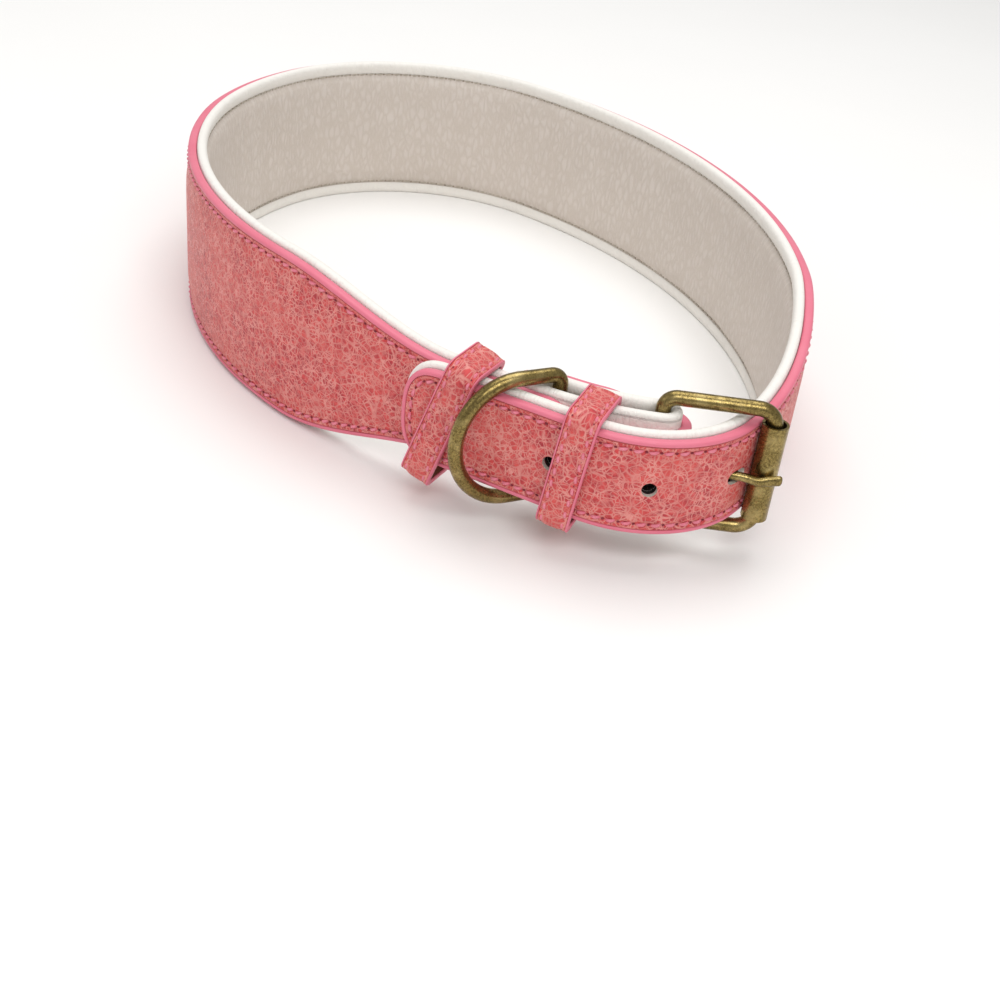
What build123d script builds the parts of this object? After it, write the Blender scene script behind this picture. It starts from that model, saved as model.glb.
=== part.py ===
from build123d import *
import math
import os

# A wide padded dog collar, buckled into a loop and standing on its lower edge.
# The strap follows one line in plan, the seam between its leather face and its lining.
# Offsets from that line are positive outwards. The line is a chain of straights,
# (length,), and arcs, (radius, turn in degrees); it runs from the tongue's tip, round
# the neck and back to the fold that holds the buckle.

# Strap section
SKIN = 1.1  # face leather
FACE = 2.7  # face leather with its backing board
LINING = 3.1  # padded lining
LINING_SKIN = 0.8
FIT = 0.05  # gap between a sealed layer and the layer round it
WIDE_HALF = 25.0  # half of the 50 mm face
NARROW_HALF = 13.5  # half of the tongue's 27 mm face
ROLL = 1.0  # how far the lining's roll stands past the face's edge
TIP_CORNER = 10.0
MID_Z = WIDE_HALF + ROLL  # height of the strap's middle line

# Hardware
WIRE = 2.0  # radius of the buckle frame's and the D-ring's wire
BAR_GAP = 0.1  # free space between a bar and the lining folded round it
BAR_REACH = WIRE + BAR_GAP + LINING  # a bar's axis to the seam line round it
FRAME_LENGTH = 28.8  # back bar to roller, axis to axis
FRAME_HALF = 17.75  # side wire's axis from the middle
ROLLER_OUTER = 3.5
ROLLER_BORE = 2.8
ROLLER_LENGTH = 28.0
ROLLER_SEAM = 0.5
PRONG = 1.2  # radius of the prong's wire
RING_HALF = 17.5  # D-ring's side from the middle
RING_LEG = 12.0
RING_BOW = 16.0  # depth of the D-ring's bow past its legs
RING_CORNER = 3.0
BAR_CORNER = 3.2
ROLLER_CORNER = 5.0
CURL_TURN = 285.0  # degrees of wire round the bar
PRONG_LENGTH = 32.0
RING_SWUNG = 54.0  # degrees between the D-ring at rest and the strap

# Plan line
START = (-10.666, -99.603, -25.0)  # x, y and heading at the tongue's tip
TONGUE_LENGTH = 52.8
TONGUE = [(TONGUE_LENGTH,)]
BEND = [(31, 80)]
PUNCHED = [(112, 27)]
RIGHT_EASE = [(180, 10)]
WIDE = [(180, 56), (67, 90), (107, 32), (138, 47)]
LEFT_EASE = [(138, 6), (200, 12)]
SHOULDER = [(23.5,)]
FIXED = [(9.0,), (75, 25)]
FOLD = [(BAR_REACH, 180)]
BETWEEN_BARS = [(62, -23.2)]
TAB_LENGTH = 5.5
RETURN = BETWEEN_BARS + [(BAR_REACH, 38.2), (1.54,), (8, -40), (TAB_LENGTH,)]

# Punched holes and the rivet
HOLE_STEP = 25.0
FIRST_HOLE = 44.5
HOLE_COUNT = 5
HOLE = 2.0
USED_HOLE = 2  # index of the hole that the prong is through
RIVET_HEAD = 2.7
RIVET_HEAD_THICK = 0.9
RIVET_SHANK = 1.3
TAB_STACK = 6.6  # seam line to seam line through the tab and the strap

# Openings cut for the prong
PRONG_HOLE_START = 10.0  # from the bar, along the frame
PRONG_HOLE_RUN = 18.0
PRONG_HOLE_SIDE = 4.6  # from the frame's plane, outwards
PRONG_HOLE_LONG = 5.6
FOLD_SLOT_START = -7.0
FOLD_SLOT_LONG = 17.0
FOLD_SLOT_DEEP = 18.0
FOLD_SLOT_HALF = 3.2

# Stitching
STITCH_INSET = 2.7
THREAD = 0.6
THREAD_DEEP = 0.3
PAST = 0.1  # how far a cutter stands past the layer it cuts

# Keeper loops
KEEPER_WIDTH = 9.0
KEEPER_LAYER = 0.9
KEEPER_CORNER = 1.5
KEEPER_ROW = 2.9  # stitch row from the loop's middle
BUTT_GAP = 0.4
STAPLE_SPAN = 7.0
STAPLE_LEG = 3.0
STAPLE_THICK = 0.5
STAPLE_WIDE = 1.0
TIP_LOOP = (13.2, 35.5)  # space inside: depth and height
TIP_LOOP_OUT = 3.1  # its middle from the strap's seam line
TIP_LOOP_DROP = 0.3
TIP_LOOP_LEAN = 18.0
BUCKLE_LOOP = (15.4, 31.4)
BUCKLE_LOOP_OUT = 0.7
BUCKLE_LOOP_LEAN = 7.0

REACH = 200.0


def rotated(heading):
    return Vector(math.cos(math.radians(heading)), math.sin(math.radians(heading)))


def stations(start, segments):
    """Position and heading at each joint of a chain."""
    found = [start]
    for segment in segments:
        x, y, heading = found[-1]
        if len(segment) == 1:
            step = rotated(heading) * segment[0]
            turn = 0
        else:
            radius, turn = segment
            side = 90 if turn > 0 else -90
            step = rotated(heading + side) * radius - rotated(heading + side + turn) * radius
        found.append((x + step.X, y + step.Y, heading + turn))
    return found


def along(start, segments, distance):
    """Station at a distance along a chain."""
    for segment, station in zip(segments, stations(start, segments)):
        length = segment[0] if len(segment) == 1 else segment[0] * math.radians(abs(segment[1]))
        if distance <= length:
            part = (distance,) if len(segment) == 1 else (segment[0], segment[1] * distance / length)
            return stations(station, [part])[1]
        distance -= length
    raise ValueError("past the end of the chain")


def across(station, out=0.0):
    """Plane square to the strap's thickness: x along the strap, z outwards."""
    x, y, heading = station
    normal = rotated(heading - 90)
    centre = Vector(x, y, MID_Z) + normal * out
    return Plane(origin=centre, x_dir=rotated(heading), z_dir=normal)


def trace(start, segments, out):
    """Draw a chain moved outwards, and give its two ends."""
    x, y, heading = start
    first = Vector(x, y) + rotated(heading - 90) * out
    point = first
    for segment in segments:
        if len(segment) == 1:
            piece = PolarLine(point, segment[0], heading)
        else:
            radius, turn = segment
            moved = radius + out if turn > 0 else radius - out
            piece = JernArc(point, rotated(heading), moved, turn)
            heading += turn
        point = piece @ 1
    return first, point


def strip(start, segments, outer, inner, half):
    """A strap layer of constant height along part of the line."""
    with BuildPart() as layer:
        with BuildSketch(Plane.XY.offset(MID_Z)):
            with BuildLine():
                outer_ends = trace(start, segments, outer)
                inner_ends = trace(start, segments, inner)
                Line(outer_ends[0], inner_ends[0])
                Line(outer_ends[1], inner_ends[1])
            make_face()
        extrude(amount=half, both=True)
    return layer.part


def eased(blank, plane, wide_at, narrow_at, inset):
    """Trim a wide strip to the S-shaped edges between the wide and narrow widths."""
    wide = WIDE_HALF - inset
    narrow = NARROW_HALF - inset
    past = math.copysign(20, narrow_at - wide_at)
    with BuildPart() as layer:
        add(blank)
        with BuildSketch(plane):
            with BuildLine():
                Line((wide_at - past, wide), (wide_at, wide))
                Spline((wide_at, wide), (narrow_at, narrow), tangents=((past, 0), (past, 0)))
                Line((narrow_at, narrow), (narrow_at + past, narrow))
                Line((narrow_at + past, narrow), (narrow_at + past, -narrow))
                Line((narrow_at + past, -narrow), (narrow_at, -narrow))
                Spline((narrow_at, -narrow), (wide_at, -wide), tangents=((-past, 0), (-past, 0)))
                Line((wide_at, -wide), (wide_at - past, -wide))
                Line((wide_at - past, -wide), (wide_at - past, wide))
            make_face()
        extrude(amount=REACH, both=True, mode=Mode.INTERSECT)
    return layer.part


def tongue_end(outer, inner, inset):
    """The straight tongue with its rounded tip."""
    half = NARROW_HALF - inset
    corner = TIP_CORNER - inset
    with BuildPart() as layer:
        with BuildSketch(across(START, inner)):
            with BuildLine():
                Polyline((inset + corner, half), (TONGUE_LENGTH, half), (TONGUE_LENGTH, -half))
                Line((TONGUE_LENGTH, -half), (inset + corner, -half))
                RadiusArc((inset + corner, -half), (inset, corner - half), corner)
                Line((inset, corner - half), (inset, half - corner))
                RadiusArc((inset, half - corner), (inset + corner, half), corner)
            make_face()
        extrude(amount=outer - inner)
    return layer.part


JOINTS = stations(START, [(TONGUE_LENGTH,)] + BEND + PUNCHED + RIGHT_EASE)
BEND_START, PUNCHED_START, RIGHT_START, WIDE_START = JOINTS[1:]
LEFT_START = stations(WIDE_START, WIDE)[-1]
SHOULDER_START = stations(LEFT_START, LEFT_EASE)[-1]
FIXED_START = stations(SHOULDER_START, SHOULDER)[-1]
FOLD_START = stations(FIXED_START, FIXED)[-1]
RETURN_START = stations(FOLD_START, FOLD)[-1]

RIGHT_WIDE_Y = WIDE_START[1] - 3
RIGHT_NARROW_Y = PUNCHED_START[1] + 5
LEFT_WIDE_X = LEFT_START[0] + 3
LEFT_NARROW_X = FIXED_START[0] - 13.5

SIDE_VIEW = Plane(origin=(0, 0, MID_Z), x_dir=(0, 1, 0), z_dir=(1, 0, 0))
FRONT_VIEW = Plane(origin=(0, 0, MID_Z), x_dir=(1, 0, 0), z_dir=(0, -1, 0))

# The buckle's bar lies in the fold; the roller is in line with it.
BAR = Vector(FOLD_START[0], FOLD_START[1] + BAR_REACH)
ROLLER = BAR + Vector(FRAME_LENGTH, 0)

# The D-ring's bar lies between the strap and its return, where the return turns in.
RING_STATION = stations(RETURN_START, BETWEEN_BARS)[-1]
RING_BAR = Vector(RING_STATION[0], RING_STATION[1]) - rotated(RING_STATION[2] - 90) * BAR_REACH
RING_HEADING = 180 + START[2] + RING_SWUNG

# The prong touches the curl's circle and runs over the roller.
CURL = WIRE + BAR_GAP + PRONG
PRONG_TILT = math.degrees(math.asin((ROLLER_OUTER + FIT + PRONG - CURL) / FRAME_LENGTH))


# Where the keepers sit on the strap
TIP_LOOP_AT = along(SHOULDER_START, SHOULDER, 10.0)
BUCKLE_LOOP_AT = (36.0, -115.987, -19.0)


def strap_layer(outer, inner, inset):
    """One layer of the whole strap, its edge set in from the face's edge."""
    wide = WIDE_HALF - inset
    narrow = NARROW_HALF - inset
    right = strip(PUNCHED_START, PUNCHED + RIGHT_EASE, outer, inner, wide)
    left = strip(LEFT_START, LEFT_EASE + SHOULDER, outer, inner, wide)
    with BuildPart() as layer:
        add(strip(WIDE_START, WIDE, outer, inner, wide))
        add(eased(right, SIDE_VIEW, RIGHT_WIDE_Y, RIGHT_NARROW_Y, inset))
        add(eased(left, FRONT_VIEW, LEFT_WIDE_X, LEFT_NARROW_X, inset))
        add(tongue_end(outer, inner, inset))
        add(strip(BEND_START, BEND, outer, inner, narrow))
        add(strip(FIXED_START, FIXED + FOLD + RETURN, outer, inner, narrow))
    return layer.part


def stitch_rows(outer, inner):
    """A thread's width of a layer, along every edge at the stitching inset."""
    with BuildPart() as rows:
        add(strap_layer(outer, inner, STITCH_INSET))
        add(strap_layer(outer + PAST, inner - PAST, STITCH_INSET + THREAD), mode=Mode.SUBTRACT)
    return rows.part


def hole_plane(index, out):
    """Plane on the strap at one of the punched holes."""
    chain = TONGUE + BEND + PUNCHED
    return across(along(START, chain, FIRST_HOLE + HOLE_STEP * index), out)


def punch(radius):
    """Cutters for the free holes; the one in use is drawn open along the prong."""
    with BuildPart() as cutters:
        for index in range(HOLE_COUNT):
            if index != USED_HOLE:
                with BuildSketch(hole_plane(index, -LINING - 1)):
                    Circle(radius)
                extrude(amount=FACE + LINING + 2)
        with BuildSketch(Plane.YZ.offset(BAR.X + PRONG_HOLE_START)):
            with Locations((BAR.Y - PRONG_HOLE_SIDE, MID_Z)):
                SlotOverall(PRONG_HOLE_LONG, 2 * radius)
        extrude(amount=PRONG_HOLE_RUN)
        with BuildSketch(Plane.XY.offset(MID_Z)):
            with Locations((BAR.X + FOLD_SLOT_START, BAR.Y)):
                Rectangle(FOLD_SLOT_LONG, FOLD_SLOT_DEEP, align=(Align.MIN, Align.CENTER))
        extrude(amount=FOLD_SLOT_HALF, both=True)
    return cutters.part


def rivet_plane():
    """Plane at the middle of the return's tab, on its seam line, z outwards."""
    x, y, heading = stations(RETURN_START, RETURN)[-2]
    middle = rotated(heading) * (TAB_LENGTH / 2)
    return across((x + middle.X, y + middle.Y, heading))


def rivet_heads(radius, thick):
    """Two discs on the rivet's axis, flush with the two outer leather faces."""
    with BuildPart() as heads:
        with BuildSketch(rivet_plane().offset(FACE), rivet_plane().offset(-TAB_STACK - FACE + thick)):
            Circle(radius)
        extrude(amount=-thick)
    return heads.part


def rivet_shank(radius):
    """The rivet's shank, head to head."""
    with BuildPart() as shank:
        with BuildSketch(rivet_plane().offset(FACE - RIVET_HEAD_THICK)):
            Circle(radius)
        extrude(amount=-(TAB_STACK + 2 * FACE - 2 * RIVET_HEAD_THICK))
    return shank.part


def padding(outer, inner, inset):
    """The foam's shape: the wide part and the wide ends of its two eased parts."""
    half = WIDE_HALF - inset
    right = strip(RIGHT_START, RIGHT_EASE, outer, inner, half)
    left = strip(LEFT_START, LEFT_EASE, outer, inner, half)
    with BuildPart() as foam:
        add(strip(WIDE_START, WIDE, outer, inner, half))
        add(eased(right, SIDE_VIEW, RIGHT_WIDE_Y, RIGHT_NARROW_Y, inset))
        add(eased(left, FRONT_VIEW, LEFT_WIDE_X, LEFT_NARROW_X, inset))
    return foam.part


def wire_ring(plane, front, corner_back, corner_front, half, bow):
    """A ring of wire: a bar at x 0, two legs, and a square or bowed front."""
    with BuildPart() as ring:
        with BuildLine(plane) as path:
            Line((0, 0), (0, half - corner_back))
            RadiusArc((0, half - corner_back), (corner_back, half), corner_back)
            if bow:
                Line((corner_back, half), (front, half))
                EllipticalCenterArc((front, 0), bow, half, 90, arc_size=-180)
                Line((front, -half), (corner_back, -half))
            else:
                Line((corner_back, half), (front - corner_front, half))
                RadiusArc((front - corner_front, half), (front, half - corner_front), corner_front)
                Line((front, half - corner_front), (front, corner_front - half))
                RadiusArc((front, corner_front - half), (front - corner_front, -half), corner_front)
                Line((front - corner_front, -half), (corner_back, -half))
            RadiusArc((corner_back, -half), (0, corner_back - half), corner_back)
            Line((0, corner_back - half), (0, 0))
        with BuildSketch(Plane(origin=path.line @ 0, z_dir=path.line % 0)):
            Circle(WIRE)
        sweep(path=path.line)
    return ring.part


def loop_plane(station, out, drop, lean):
    """Plane square to a keeper loop's run, leaning with its top along the strap."""
    x, y, heading = station
    run = rotated(heading)
    normal = rotated(heading - 90)
    centre = Vector(x, y, MID_Z - drop) + normal * out
    tip = math.radians(lean)
    return Plane(origin=centre, x_dir=normal, z_dir=run * math.cos(tip) - Vector(0, 0, math.sin(tip)))


def loop_layer(plane, space, low, high, width):
    """A closed band round a keeper's space, between two distances from it."""
    depth, height = space
    with BuildPart() as band:
        with BuildSketch(plane):
            RectangleRounded(depth + 2 * high, height + 2 * high, KEEPER_CORNER + high)
            RectangleRounded(depth + 2 * low, height + 2 * low, KEEPER_CORNER + low, mode=Mode.SUBTRACT)
        extrude(amount=width / 2, both=True)
    return band.part


def loop_thread(plane, space, low):
    """Two rows of stitching sunk in a keeper's face."""
    with BuildPart() as rows:
        for side in (-KEEPER_ROW, KEEPER_ROW):
            add(loop_layer(plane.offset(side), space, low, 2 * KEEPER_LAYER, THREAD))
    return rows.part


def loop_staple(plane, space, grow):
    """A flat wire staple across the loop's butt joint, on the neck side."""
    back = -space[0] / 2 - 2 * KEEPER_LAYER
    with BuildPart() as staple:
        with BuildSketch(plane):
            with Locations((back, 0)):
                Rectangle(STAPLE_THICK, STAPLE_SPAN, align=(Align.MAX, Align.CENTER))
            with Locations((back, STAPLE_LEG), (back, -STAPLE_LEG)):
                Rectangle(2 * KEEPER_LAYER, STAPLE_THICK + 2 * grow, align=(Align.MIN, Align.CENTER))
        extrude(amount=STAPLE_WIDE / 2 + grow, both=True)
    return staple.part


def butt_joint(plane, space):
    """Cutter for the gap where a keeper's two ends meet."""
    with BuildPart() as gap:
        with BuildSketch(plane):
            with Locations((-space[0] / 2, 0)):
                Rectangle(6 * KEEPER_LAYER, BUTT_GAP)
        extrude(amount=KEEPER_WIDTH, both=True)
    return gap.part


os.makedirs("parts", exist_ok=True)

# Strap

with BuildPart() as outer_leather:
    add(strap_layer(FACE, FACE - SKIN, 0))
    add(stitch_rows(FACE, FACE - THREAD_DEEP), mode=Mode.SUBTRACT)
    add(punch(HOLE), mode=Mode.SUBTRACT)
    add(rivet_heads(RIVET_HEAD + FIT, RIVET_HEAD_THICK + FIT), mode=Mode.SUBTRACT)
    add(rivet_shank(RIVET_SHANK + FIT), mode=Mode.SUBTRACT)
outer_leather.part.label = "outer_leather"
export_step(outer_leather.part, "parts/outer_leather.step")

with BuildPart() as backing_board:
    add(strap_layer(FACE - SKIN - FIT, FIT, 0))
    add(punch(HOLE), mode=Mode.SUBTRACT)
    add(rivet_shank(RIVET_SHANK + FIT), mode=Mode.SUBTRACT)
backing_board.part.label = "backing_board"
export_step(backing_board.part, "parts/backing_board.step")

PAD_OUT = -LINING_SKIN - FIT
PAD_IN = -LINING + LINING_SKIN + FIT
PAD_INSET = LINING_SKIN - ROLL + FIT

with BuildPart() as lining_leather:
    add(strap_layer(0, -LINING, -ROLL))
    add(padding(PAD_OUT + FIT, PAD_IN - FIT, PAD_INSET - FIT), mode=Mode.SUBTRACT)
    add(stitch_rows(-LINING + THREAD_DEEP, -LINING), mode=Mode.SUBTRACT)
    add(punch(HOLE), mode=Mode.SUBTRACT)
    add(rivet_shank(RIVET_SHANK + FIT), mode=Mode.SUBTRACT)
lining_leather.part.label = "lining_leather"
export_step(lining_leather.part, "parts/lining_leather.step")

with BuildPart() as foam_pad:
    add(padding(PAD_OUT, PAD_IN, PAD_INSET))
foam_pad.part.label = "foam_pad"
export_step(foam_pad.part, "parts/foam_pad.step")

with BuildPart() as face_thread:
    add(stitch_rows(FACE, FACE - THREAD_DEEP + FIT))
    add(punch(HOLE), mode=Mode.SUBTRACT)
face_thread.part.label = "face_thread"
export_step(face_thread.part, "parts/face_thread.step")

with BuildPart() as lining_thread:
    add(stitch_rows(-LINING + THREAD_DEEP - FIT, -LINING))
    add(punch(HOLE), mode=Mode.SUBTRACT)
lining_thread.part.label = "lining_thread"
export_step(lining_thread.part, "parts/lining_thread.step")

with BuildPart() as rivet_caps:
    add(rivet_heads(RIVET_HEAD, RIVET_HEAD_THICK))
rivet_caps.part.label = "rivet_caps"
export_step(rivet_caps.part, "parts/rivet_caps.step")

with BuildPart() as rivet_post:
    add(rivet_shank(RIVET_SHANK))
rivet_post.part.label = "rivet_post"
export_step(rivet_post.part, "parts/rivet_post.step")

# Buckle and D-ring

FRAME_PLANE = Plane(origin=(BAR.X, BAR.Y, MID_Z), x_dir=(1, 0, 0), z_dir=(0, -1, 0))
RING_PLANE = Plane(
    origin=(RING_BAR.X, RING_BAR.Y, MID_Z),
    x_dir=rotated(RING_HEADING),
    z_dir=rotated(RING_HEADING - 90),
)

with BuildPart() as buckle_frame:
    add(wire_ring(FRAME_PLANE, FRAME_LENGTH, BAR_CORNER, ROLLER_CORNER, FRAME_HALF, 0))
buckle_frame.part.label = "buckle_frame"
export_step(buckle_frame.part, "parts/buckle_frame.step")

with BuildPart() as d_ring:
    add(wire_ring(RING_PLANE, RING_LEG, RING_CORNER, 0, RING_HALF, RING_BOW))
d_ring.part.label = "d_ring"
export_step(d_ring.part, "parts/d_ring.step")

with BuildPart() as roller:
    with BuildSketch(Plane.XY.offset(MID_Z)):
        with Locations(ROLLER):
            Circle(ROLLER_OUTER)
            Circle(ROLLER_BORE, mode=Mode.SUBTRACT)
            Rectangle(
                2 * ROLLER_OUTER, ROLLER_SEAM, align=(Align.MAX, Align.CENTER), mode=Mode.SUBTRACT
            )
    extrude(amount=ROLLER_LENGTH / 2, both=True)
roller.part.label = "roller"
export_step(roller.part, "parts/roller.step")

with BuildPart() as prong:
    with BuildLine(Plane.XY.offset(MID_Z)) as prong_path:
        curl = CenterArc((BAR.X, BAR.Y), CURL, -90 - PRONG_TILT - CURL_TURN, CURL_TURN)
        PolarLine(curl @ 1, PRONG_LENGTH, -PRONG_TILT)
    with BuildSketch(Plane(origin=prong_path.line @ 0, z_dir=prong_path.line % 0)):
        Circle(PRONG)
    sweep(path=prong_path.line)
    with Locations(prong_path.line @ 1):
        Sphere(PRONG)
prong.part.label = "prong"
export_step(prong.part, "parts/prong.step")

# Keeper loops


def keeper(name, plane, space):
    """One keeper loop: face, backing, its two stitch rows and its staple."""
    with BuildPart() as face:
        add(loop_layer(plane, space, KEEPER_LAYER, 2 * KEEPER_LAYER, KEEPER_WIDTH))
        add(loop_thread(plane, space, 2 * KEEPER_LAYER - THREAD_DEEP), mode=Mode.SUBTRACT)
        add(loop_staple(plane, space, FIT), mode=Mode.SUBTRACT)
        add(butt_joint(plane, space), mode=Mode.SUBTRACT)
    face.part.label = name + "_face"
    export_step(face.part, "parts/" + name + "_face.step")
    with BuildPart() as backing:
        add(loop_layer(plane, space, 0, KEEPER_LAYER - FIT, KEEPER_WIDTH))
        add(loop_staple(plane, space, FIT), mode=Mode.SUBTRACT)
        add(butt_joint(plane, space), mode=Mode.SUBTRACT)
    backing.part.label = name + "_backing"
    export_step(backing.part, "parts/" + name + "_backing.step")
    with BuildPart() as thread:
        add(loop_thread(plane, space, 2 * KEEPER_LAYER - THREAD_DEEP + FIT))
        add(butt_joint(plane, space), mode=Mode.SUBTRACT)
    thread.part.label = name + "_thread"
    export_step(thread.part, "parts/" + name + "_thread.step")
    with BuildPart() as staple:
        add(loop_staple(plane, space, 0))
    staple.part.label = name + "_staple"
    export_step(staple.part, "parts/" + name + "_staple.step")


keeper("tip_keeper", loop_plane(TIP_LOOP_AT, TIP_LOOP_OUT, TIP_LOOP_DROP, TIP_LOOP_LEAN), TIP_LOOP)
keeper("buckle_keeper", loop_plane(BUCKLE_LOOP_AT, BUCKLE_LOOP_OUT, 0, BUCKLE_LOOP_LEAN), BUCKLE_LOOP)
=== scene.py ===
import math
import random

import bmesh
import bpy
import numpy as np
from mathutils import Matrix, Vector


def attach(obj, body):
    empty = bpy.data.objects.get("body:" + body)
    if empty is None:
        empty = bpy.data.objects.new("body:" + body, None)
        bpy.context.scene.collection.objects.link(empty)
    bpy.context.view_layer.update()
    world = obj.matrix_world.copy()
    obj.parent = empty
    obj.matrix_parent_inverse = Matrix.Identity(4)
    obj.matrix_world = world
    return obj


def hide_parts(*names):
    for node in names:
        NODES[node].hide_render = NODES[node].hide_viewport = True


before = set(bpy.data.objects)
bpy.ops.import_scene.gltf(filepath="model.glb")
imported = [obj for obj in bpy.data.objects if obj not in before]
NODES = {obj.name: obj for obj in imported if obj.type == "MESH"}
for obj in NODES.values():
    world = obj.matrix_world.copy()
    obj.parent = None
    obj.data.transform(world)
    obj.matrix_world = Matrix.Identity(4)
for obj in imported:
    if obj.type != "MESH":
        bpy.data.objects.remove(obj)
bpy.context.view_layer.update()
random.seed(11)

# A padded dog collar standing on its edge. Lengths here are millimetres until a mesh is made.
# The strap follows the seam between face and lining: straights (length,) and arcs (radius, turn).
MM = 0.001
MID_Z = 26.0
WIDE_HALF = 25.0
NARROW_HALF = 13.5
BAR_REACH = 5.2
START = (-10.666, -99.603, -25.0)
TONGUE = [(52.8,)]
BEND = [(31, 80)]
PUNCHED = [(112, 27)]
RIGHT_EASE = [(180, 10)]
WIDE = [(180, 56), (67, 90), (107, 32), (138, 47)]
LEFT_EASE = [(138, 6), (200, 12)]
SHOULDER = [(23.5,)]
FIXED = [(9.0,), (75, 25)]
FOLD = [(BAR_REACH, 180)]
RETURN = [(62, -23.2), (BAR_REACH, 38.2), (1.54,), (8, -40), (5.5,)]
CHAIN = TONGUE + BEND + PUNCHED + RIGHT_EASE + WIDE + LEFT_EASE + SHOULDER + FIXED + FOLD + RETURN


def turned(heading):
    return np.array([math.cos(math.radians(heading)), math.sin(math.radians(heading))])


def run_length(segment):
    return segment[0] if len(segment) == 1 else segment[0] * math.radians(abs(segment[1]))


def joints_of(start, chain):
    """x, y, heading and distance at each joint of a chain."""
    found = [(start[0], start[1], start[2], 0.0)]
    for segment in chain:
        x, y, heading, distance = found[-1]
        turn = 0
        if len(segment) == 1:
            step = turned(heading) * segment[0]
        else:
            radius, turn = segment
            side = 90 if turn > 0 else -90
            step = turned(heading + side) * radius - turned(heading + side + turn) * radius
        found.append((x + step[0], y + step[1], heading + turn, distance + run_length(segment)))
    return found


JOINTS = joints_of(START, CHAIN)
LENGTH = JOINTS[-1][3]


def reach(*parts):
    """Distance along the strap to the end of the given parts."""
    return sum(run_length(segment) for part in parts for segment in part)


TO_PUNCHED = reach(TONGUE, BEND)
TO_WIDE = reach(TONGUE, BEND, PUNCHED, RIGHT_EASE)
TO_LEFT = TO_WIDE + reach(WIDE)
TO_SHOULDER = TO_LEFT + reach(LEFT_EASE)
TO_FIXED = TO_SHOULDER + reach(SHOULDER)
TO_FOLD = TO_FIXED + reach(FIXED)


def seam(distances):
    """x, y and heading in radians on the seam line, at many distances."""
    s = np.asarray(distances, float)
    joint_s = np.array([j[3] for j in JOINTS])
    index = np.clip(np.searchsorted(joint_s, s, side="right") - 1, 0, len(CHAIN) - 1)
    x, y, h = np.zeros_like(s), np.zeros_like(s), np.zeros_like(s)
    for k, segment in enumerate(CHAIN):
        here = index == k
        jx, jy, heading, at = JOINTS[k]
        d = s[here] - at
        a = math.radians(heading)
        if len(segment) == 1:
            x[here] = jx + d * math.cos(a)
            y[here] = jy + d * math.sin(a)
            h[here] = a
        else:
            radius, turn = segment
            sign = 1 if turn > 0 else -1
            b = a + sign * d / radius
            x[here] = jx + sign * radius * (np.sin(b) - math.sin(a))
            y[here] = jy - sign * radius * (np.cos(b) - math.cos(a))
            h[here] = b
    return x, y, h


def place(s, z, n):
    """Points of the strap: distance along it, height from its middle, distance outwards."""
    x, y, h = seam(s)
    return np.stack([x + np.sin(h) * n, y - np.cos(h) * n, MID_Z + z], axis=-1)


def smooth(t):
    """An eased step from 0 to 1."""
    t = np.clip(t, 0, 1)
    return t * t * (3 - 2 * t)


# The strap widens between joints of its chain, set off from them by these lengths
NARROW_OFF_RIGHT = 5.0
NARROW_OFF_LEFT = 13.5
WIDE_OFF = 3.0


def half_width(s):
    """Half of the face's height along the strap."""
    s = np.asarray(s, float)
    x, y, _ = seam(s)
    wide_y = seam([TO_WIDE])[1][0] - WIDE_OFF
    narrow_y = seam([TO_PUNCHED])[1][0] + NARROW_OFF_RIGHT
    wide_x = seam([TO_LEFT])[0][0] + WIDE_OFF
    narrow_x = seam([TO_FIXED])[0][0] - NARROW_OFF_LEFT
    right = smooth((y - narrow_y) / (wide_y - narrow_y))
    right = np.where(s < TO_PUNCHED, 0, np.where(s > TO_WIDE, 1, right))
    left = smooth((x - narrow_x) / (wide_x - narrow_x))
    left = np.where(s > TO_FIXED, 0, np.where(s < TO_LEFT, 1, left))
    return NARROW_HALF + (WIDE_HALF - NARROW_HALF) * np.minimum(right, left)


def wideness(s):
    """0 where the strap is narrow, 1 where it is wide."""
    return np.clip((half_width(s) - NARROW_HALF) / (WIDE_HALF - NARROW_HALF), 0, 1)


def bell(offset, spread):
    """A smooth hump, 1 high, about an offset of 0."""
    return np.exp(-((offset / spread) ** 2))


def ripple(s, z, size, seed):
    """A smooth wander between -1 and 1, the same on every run."""
    a = np.sin(s / size + seed) + np.sin(s / size * 1.7 + 2.1 * seed + z / size)
    return (a + np.sin(z / size * 1.3 - s / size * 0.6 + 5.3 * seed)) / 3


# The strap's outline, flat: distance along it and height, from the tip round to the tab's end
TIP_DEEP = 11.0
TAB_DEEP = 5.5
END_POWER = 2.7
END_SAMPLES = 400
END_POINTS = 20
STEP = 1.15  # between the outline's points
TIGHT_STEP = 0.6  # the same where the strap folds
TIGHT_FROM = TO_FOLD - 8.0


def lengths_along(*coordinates):
    """Distance from a path's first point to each of its points."""
    steps = np.hypot(*(np.diff(values) for values in coordinates))
    return np.concatenate([[0], np.cumsum(steps)])


def rounded_end(deep):
    """Half of a rounded end, from its middle to the edge, as depth and height."""
    angle = np.linspace(0, math.pi / 2, END_SAMPLES)
    depth = deep - deep * np.cos(angle) ** (2 / END_POWER)
    height = NARROW_HALF * np.sin(angle) ** (2 / END_POWER)
    length = lengths_along(depth, height)
    even = np.linspace(0, length[-1], END_POINTS)
    return np.interp(even, length, depth), np.interp(even, length, height)


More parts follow.
